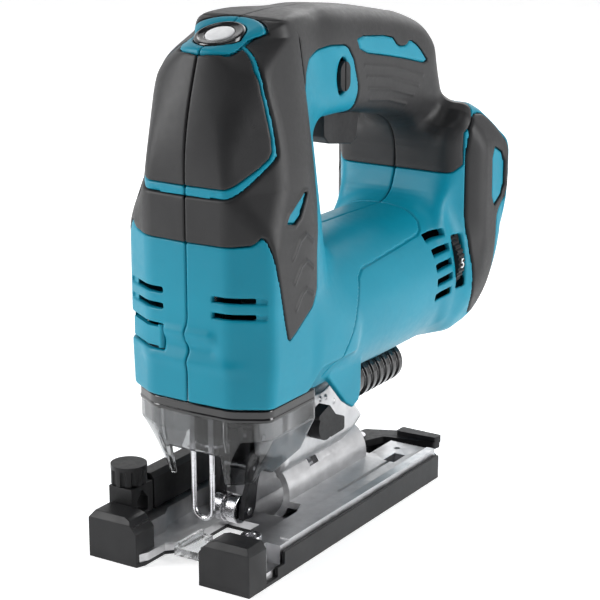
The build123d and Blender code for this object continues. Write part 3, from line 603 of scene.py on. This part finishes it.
def screw_posts(g, radius, start):
    """Round columns on the axes of the six case screws, from x = start outwards."""
    posts = None
    for y, z in CASE_SCREWS:
        post = np.maximum(np.sqrt((g.y - y) ** 2 + (g.z - z) ** 2) - radius, start - g.x)
        posts = post if posts is None else np.minimum(posts, post)
    return posts


def cut_front_vents(g, body, wall):
    """Two slots beside the middle of the nose, each in a shallower and longer lip."""
    for middle in (104.2, 110.6):
        vent = smooth_max(np.abs(g.z - middle) - 1.15, np.abs(g.x - 19.5) - 8.0, 0.8)
        lip = smooth_max(np.abs(g.z - middle) - 1.15, np.abs(g.x - 21.5) - 10.0, 0.8)
        lip = np.maximum(lip, -(body + 0.8))
        wall = smooth_max(wall, -np.maximum(np.minimum(vent, lip), g.y + 44), 0.7)
    return wall


def cut_rear_vents(g, wall):
    """Five leaning slots in the barrel beside the fan; the inner three start further back."""
    for k in range(5):
        z = 80.6 + 6.4 * k
        y0 = 80.0 if k in (1, 2, 3) else 78.8
        vent = np.maximum(slot_field(g, y0, y0 + 13.0, z - 1.5, z + 1.5, 0.06), 20 - g.x)
        wall = smooth_max(wall, -vent, 0.8)
    return wall


def hard_shell(g, body, zones, sign):
    """One hard half of the housing; sign is +1 on the left side, with x mirrored on the right."""
    cap, grip, handle, inlay, strap, window, badge = zones
    groove = np.maximum(line(g.y, g.z, PANEL_SEAM) - 0.36, -(body + 0.7))
    thickness = SKIRT_WALL + (WALL - SKIRT_WALL) * step_up(g.z, 83.5, 86)
    wall = np.maximum(body, -(body + thickness))
    skirt = np.maximum(np.maximum(nose_column(g, np.abs(g.x)) + SKIRT_WALL, g.z - 84.5), g.y + 14)
    wall = np.maximum(wall, -skirt)
    wall = smooth_max(wall, -groove, 0.3)
    for zone in (cap, grip, np.maximum(handle, -inlay + 0.3), strap):
        wall = np.maximum(wall, -under_skin(body, zone))
    wall = np.minimum(wall, np.maximum(np.maximum(body + 0.15, window + 0.25), -(body + WALL)))
    wall = np.minimum(wall, np.maximum(np.maximum(body + 0.1, badge + 0.25), -(body + WALL)))
    wall = smooth_max(wall, seam_offset(g.z) * sign + 0.10 - g.x, 0.9)
    trigger_slot = box_field(g, -7.5, 7.5, 26.5, 55.5, 148, 171)
    wall = np.maximum(wall, -trigger_slot)
    well, height = ring_well(g, 0.3)
    wall = np.maximum(wall, -np.maximum(well, -height - 2.6))
    button = np.sqrt(((g.y - LOCK_Y) / 4.6) ** 2 + ((g.z - LOCK_Z) / 7.6) ** 2)
    wall = smooth_max(wall, -((button - 1) * 5.0), 1.2)
    wall = cut_rear_vents(g, cut_front_vents(g, body, wall))
    battery_bay = box_field(g, -23, 23, 122, 140, 84, 138)
    rail_groove = box_field(g, 25, 29, 127, 131, 70, 142)
    dust_outlet = np.sqrt(g.x ** 2 + (g.z - 43.4) ** 2) - 9.9
    for room in (battery_bay, rail_groove, dust_outlet):
        wall = np.maximum(wall, -room)
    if sign > 0:
        dial_slot = box_field(g, 20, 45, 96.2, 102.6, 80.5, 104.0, 0.6)
        return smooth_max(wall, -dial_slot, 1.0)
    wall = np.minimum(wall, np.maximum(screw_posts(g, 4.8, 8.5), body + 1.8))
    wall = smooth_max(wall, -screw_posts(g, 3.2, 11.5), 0.6)
    opener = np.maximum(np.maximum(g.x - 33.6, 11.2 - g.x), np.maximum(np.abs(g.z - 91.8) - 5.3, g.y + 46))
    return smooth_max(wall, -np.maximum(opener, -(body + 3.4)), 1.0)


def ridge(g, curve, width, height):
    """How far a rounded bead along a curve stands out, in the side view."""
    return height * np.exp(-(line(g.y, g.z, curve) / width) ** 2)


def make_top_ring(g, body, oval, height):
    """The teal ring round the button: a rounded rim that falls away into a dish."""
    bowl = np.sqrt(g.x ** 2 + top_frame(g)[0] ** 2)
    ring = smooth_max(smooth_max(body - 0.7, oval + 0.55, 1.8), -height - 2.4, 0.5)
    ring = smooth_max(ring, -np.maximum(bowl - 10.4, -height - 2.5), 0.8)
    ring = smooth_max(ring, height - 0.2 - 0.30 * np.maximum(bowl - 10.4, 0), 1.0)
    halves = smooth_max(ring, 0.08 - g.x, 0.5)
    for side, flip in (("left", False), ("right", True)):
        piece = sculpted(f"top_ring_{side}", g, halves, flip=flip)
        settle(piece, LOOK["teal_shell"], "tool", ["top_ring"] if side == "left" else [])


def turned(profile):
    """A solid of revolution about z from (radius, height) points, as points and faces."""
    points, faces, segments = [], [], 64
    for k in range(segments):
        a = 2 * math.pi * k / segments
        points += [(r * math.cos(a), r * math.sin(a), h) for r, h in profile]
    n = len(profile)
    for k in range(segments):
        m = (k + 1) % segments
        for i in range(n - 1):
            faces.append((k * n + i, m * n + i, m * n + i + 1, k * n + i + 1))
    faces.append(tuple(k * n for k in reversed(range(segments))))
    faces.append(tuple(k * n + n - 1 for k in range(segments)))
    return points, faces


def set_on_top(name, profile, material, node):
    """Places a turned piece on the sloping top of the nose, along the button's own axis."""
    points, faces = turned(profile)
    place = Matrix.Translation((0, RING_Y, RING_Z)) @ Matrix.Rotation(TOP_TILT, 4, "X")
    points = [tuple((place @ Vector(p)) * MM) for p in points]
    piece = mesh_object(name, points, faces, smooth=True)
    smooth_by_angle(piece, 50)
    return settle(piece, material, "mode", [node])


def make_button():
    """The glossy cap of the mode button and the pale disc sunk in it."""
    rim = [(9.8, -4.6), (10.1, -4.2), (10.1, -0.3), (9.9, 0.1), (9.4, 0.35), (8.9, 0.4), (8.5, 0.2),
           (8.2, 0.0), (6.5, 0.0), (6.2, -0.1), (6.0, -0.35), (6.0, -1.0), (0.4, -1.0)]
    set_on_top("mode_button_cap", rim, LOOK["gloss_black"], "mode_button")
    disc = [(5.6, -0.9), (5.8, -0.7), (5.8, -0.05), (5.6, 0.18), (5.2, 0.3), (3.0, 0.45), (0.3, 0.5)]
    set_on_top("mode_button_disc", disc, LOOK["white_plastic"], "button_disc")


def gear_case_foot(g, ax):
    """The cast foot under the shell, with the two lugs of the roller fork and three cast dots a side."""
    side = polygon(g.y, g.z, [(-16, 72), (-16, 24.6), (30.6, 24.6), (46.6, 33.2), (11, 72)])
    foot = smooth_max(side, ax - 15.9, 3.2)
    foot = smooth_max(foot, 0.764 * ax - 0.645 * g.z + 6.2, 2.0)
    lug_side = polygon(g.y, g.z, [(-33, 69), (-30, 38.2), (-20, 34.2), (-14, 34.2), (-14, 69)])
    foot = smooth_min(foot, smooth_max(lug_side, np.abs(ax - 11.55) - 1.9, 1.2), 2.0)
    foot = np.maximum(foot, g.z - 69)
    for y, z in ((10.3, 50.9), (14.8, 50.4), (21.1, 46.9)):
        dot = np.sqrt((g.y - y) ** 2 + (g.z - z) ** 2 + (ax - 15.4) ** 2) - 1.25
        foot = smooth_min(foot, dot, 0.6)
    return foot


def bore_gear_case(g, ax, case):
    """Cuts the seat on the shoe's dome and the room for every part that runs through the case."""
    dome = np.sqrt(g.x ** 2 + (g.z - 14.8) ** 2)
    case = smooth_max(case, 15.12 - dome, 0.8)
    hollow = np.maximum(polygon(g.y, g.z, [(-12, 64), (-12, 36), (22, 36), (2, 64)]), ax - 9)
    case = np.maximum(case, -hollow)
    bevel_bolt = np.sqrt(g.x ** 2 + (g.y - 10) ** 2)
    case = np.maximum(case, 3.05 - bevel_bolt + np.maximum(g.z - 41, 0))
    shell_tongue = np.maximum(polygon(g.y, g.z, TONGUE), np.abs(ax - 25.5) - 1.9)
    case = np.maximum(case, -shell_tongue)
    fork_pivot = np.sqrt((g.y + 26) ** 2 + (g.z - 44) ** 2)
    case = np.maximum(case, 2.05 - fork_pivot)
    clamp = np.sqrt(g.x ** 2 + (g.y - ROD_Y) ** 2)
    case = np.maximum(case, 9.25 - clamp + np.maximum(g.z - 74.6, 0))
    orbit_lever = np.sqrt((g.y - 5) ** 2 + (g.z - 42) ** 2)
    case = np.maximum(case, np.where(ax > 10, np.maximum(3.05 - orbit_lever, 10 - ax), -1e3))
    motor_shaft = np.sqrt(g.x ** 2 + (g.z - MOTOR_Z) ** 2)
    case = np.maximum(case, np.where(g.y > -5, 3.0 - motor_shaft, -1e3))
    guard_wire = np.maximum(np.maximum(ax - 5.7, np.abs(g.y + 52) - 1.3), g.z - 80)
    return np.maximum(case, -guard_wire)


def make_gear_case():
    """The cast gear case: the front wall behind the vents, the box inside the shell and the foot."""
    g = Grid((-34, -60, 22), (34, 50, 143), SHELL_STEP)
    ax = np.abs(g.x)
    column = nose_column(g, ax)
    inset = 5.2 - 2.2 * step_up(-g.y, 50, 54) * step_up(g.z, 96, 99) * step_up(-g.z, -117, -114)
    case = np.maximum(np.maximum(column + inset, 67.6 - g.z), np.maximum(g.z - 140, g.y - 3.4))
    case = np.maximum(case, -np.maximum(np.maximum(column + 8.0, 74.0 - g.z), g.y - 0.4))
    bush_seats = np.minimum(np.abs(g.z - 79.5) - 5.5, np.abs(g.z - 135) - 4)
    bush_seats = np.maximum(np.maximum(ax - 10, np.abs(g.y + 44.2) - 9.8), bush_seats)
    case = np.minimum(case, bush_seats)
    rod = np.sqrt(g.x ** 2 + (g.y - ROD_Y) ** 2)
    case = np.maximum(case, np.maximum(6.05 - rod, 69 - g.z))
    case = smooth_min(case, gear_case_foot(g, ax), 2.5)
    piece = sculpted("gear_case_casting", g, bore_gear_case(g, ax, case), adaptivity=0.003)
    settle(piece, LOOK["cast_aluminium"], "tool", ["gear_housing"])


def make_dust_cover():
    """The smoked cover and the glossy lip that closes it under the skirt."""
    g = Grid((-34, -61, 30), (34, -15, 68), COVER_STEP)
    ax = np.abs(g.x)
    foot_plan = mirrored_outline([(13.0, -55.0), (20.0, -48.0), (21.0, -40.0), (21.0, -4.0), (15.0, 3.0)])
    narrow = polygon(g.x, g.y, rounded(foot_plan, 1))
    drop = np.clip((54 - g.z) / 21, 0, 1)
    outer = (1 - drop) * (nose_column(g, ax) + 2.0) + drop * narrow
    wall = np.maximum(outer, -(outer + 1.5))
    wall = smooth_max(wall, np.maximum(33.0 - g.z, g.z - 66.8), 0.8)
    wall = smooth_max(wall, g.y + 17.6, 1.0)
    front = np.maximum(np.maximum(ax - 11.5, g.y + 40), g.z - 45.5)
    wall = smooth_max(wall, -front, 1.4)
    right_edge = polygon(g.y, g.z, [(-49, 20), (-49, 41), (-36, 36.5), (-28, 41), (-10, 45), (-10, 20)])
    left_edge = polygon(g.y, g.z, [(-49, 20), (-44, 38), (-34, 33.5), (-24, 37), (-10, 41.5), (-10, 20)])
    wall = smooth_max(wall, -np.maximum(right_edge, g.x + 10), 1.2)
    wall = smooth_max(wall, -np.maximum(left_edge, 10 - g.x), 1.2)
    stay = np.maximum(np.maximum(outer + 0.8, -(outer + 2.6)), np.abs(ax - 14.5) - 0.5)
    stay = np.maximum(stay, np.maximum(np.maximum(48 - g.z, g.z - 64), g.y + 44))
    wall = smooth_min(wall, stay, 0.6)
    piece = sculpted("dust_cover_moulding", g, wall, adaptivity=0.003)
    settle(piece, LOOK["smoked_clear"], "cover", ["dust_cover"])
    lip = smooth_max(np.maximum(outer - 0.25, -(outer + 0.9)), np.abs(g.z - 64.4) - 2.1, 0.5)
    bead = smooth_max(np.maximum(outer - 0.5, -(outer + 0.9)), np.abs(g.z - 62.3) - 0.75, 0.5)
    lip = np.maximum(smooth_min(lip, bead, 0.4), g.y + 19.0)
    piece = sculpted("dust_cover_lip", g, lip)
    settle(piece, LOOK["gloss_black"], "cover")


def grip_lines(g):
    """Four raised lines that fan out along the side of the handle."""
    lines = 0
    for k in range(4):
        arc = [(42 + 2.0 * k, 186.0 - 5.1 * k), (65 - 0.3 * k, 182.0 - 4.6 * k),
               (92 - 4.0 * k, 174.6 - 3.6 * k)]
        lines = lines + ridge(g, arc, 0.55, 0.35)
    return lines * (g.x > 10)


def make_shell():
    """The two hard halves, the top ring, and the skins and inlays on both sides."""
    g = Grid((-2.6, -66, 38), (41.5, 139.5, 216.5), SHELL_STEP)
    body = body_field(g)
    zones = shell_zones(g)
    cap, grip, handle, inlay, strap, window, badge = zones
    for side, sign in (("left", 1), ("right", -1)):
        wall = hard_shell(g, body, zones, sign)
        shell = sculpted(f"housing_{side}_moulding", g, wall, flip=sign < 0, adaptivity=0.004)
        settle(shell, LOOK["teal_shell"], "tool", [f"housing_{side}"])
    well, height = ring_well(g, 0.35)
    make_top_ring(g, body, well, height)
    chevron = sum(ridge(g, c, 0.7, 0.55) for c in CHEVRONS)
    window_rim = 0.4 * np.exp(-((window - 0.9) / 0.6) ** 2)
    skins = {
        "nose_cap": skin_field(body, cap),
        "front_grip": np.maximum(skin_field(body - chevron - window_rim, grip), -(window - 0.25)),
        "handle_grip": np.maximum(skin_field(body - grip_lines(g), handle), -(inlay - 0.25)),
        "rear_strap": np.maximum(skin_field(body, strap), -(badge - 0.25)),
        "handle_inlay": skin_field(body, inlay, lift=0.25, gap=0.2),
    }
    ring_seat = np.maximum(well, -height - 3)
    screw_wells = screw_posts(g, 3.4, 11.5)
    for name, field in skins.items():
        field = smooth_max(np.maximum(field, -ring_seat), 0.12 - g.x, 0.7)
        slot = "teal_shell" if name == "handle_inlay" else "soft_grip"
        for side, flip in (("left", False), ("right", True)):
            skin = smooth_max(field, -screw_wells, 0.6) if flip else field
            piece = sculpted(f"{name}_{side}_moulding", g, skin, flip=flip, adaptivity=0.004)
            settle(piece, LOOK[slot], "tool", [f"{name}_{side}"])


def make_dial_number():
    """A raised numeral on the rim of the speed dial."""
    text = bpy.data.curves.new("dial_numeral", "FONT")
    text.body, text.size, text.extrude = "5", 6.0 * MM, 0.12 * MM
    text.align_x, text.align_y = "CENTER", "CENTER"
    lettering = bpy.data.objects.new("dial_numeral_text", text)
    bpy.context.scene.collection.objects.link(lettering)
    mesh = bpy.data.meshes.new_from_object(lettering.evaluated_get(bpy.context.evaluated_depsgraph_get()))
    bpy.data.objects.remove(lettering)
    quarter = math.radians(90)
    upright = Matrix.Rotation(quarter, 4, "Z") @ Matrix.Rotation(quarter, 4, "X")
    mesh.transform(Matrix.Translation((35.42 * MM, 97.5 * MM, 92.0 * MM)) @ upright)
    numeral = bpy.data.objects.new("dial_numeral", mesh)
    bpy.context.scene.collection.objects.link(numeral)
    settle(numeral, LOOK["white_plastic"], "dial")


make_shell()
make_dial_number()
make_button()
make_gear_case()
make_dust_cover()

# ---- mechanical pieces ----------------------------------------------------------------------
# Edge widths of the CAD nodes that get rounded edges.
BEVELS = {
    "base_plate": 0.5, "cover_plate": 0.6, "guide_holder": 0.5, "guide_knob": 0.35, "base_screw": 0.3,
    "splinter_insert": 0.25, "bevel_lever": 0.6, "lever_pin": 0.3, "roller_fork": 0.35, "fork_pins": 0.25,
    "fork_pivot": 0.3, "roller": 0.35, "orbit_lever": 0.6, "trigger": 0.5, "lock_button": 0.4,
    "speed_dial": 0.2, "clamp_collar": 0.3, "blade_clamp": 0.3, "tool_opener": 0.4, "dust_port": 0.5,
    "terminal_block": 0.4, "housing_screws": 0.2, "bevel_bolt": 0.3, "bevel_clamp": 0.3, "lamp_lens": 0.2,
}
# Sculpted pieces stand for these nodes, which keep the material that they came with.
SCULPTED = ("gear_housing", "dust_cover", "mode_button", "button_disc")
for node, width in BEVELS.items():
    look = "cover" if node == "cover_plate" else SLOT_OF[node]
    bevelled(node, width, LOOK[look])
for node, obj in frame["nodes"].items():
    if node not in BEVELS and node not in SCULPTED:
        obj.data.materials.clear()
        obj.data.materials.append(LOOK[SLOT_OF[node]])
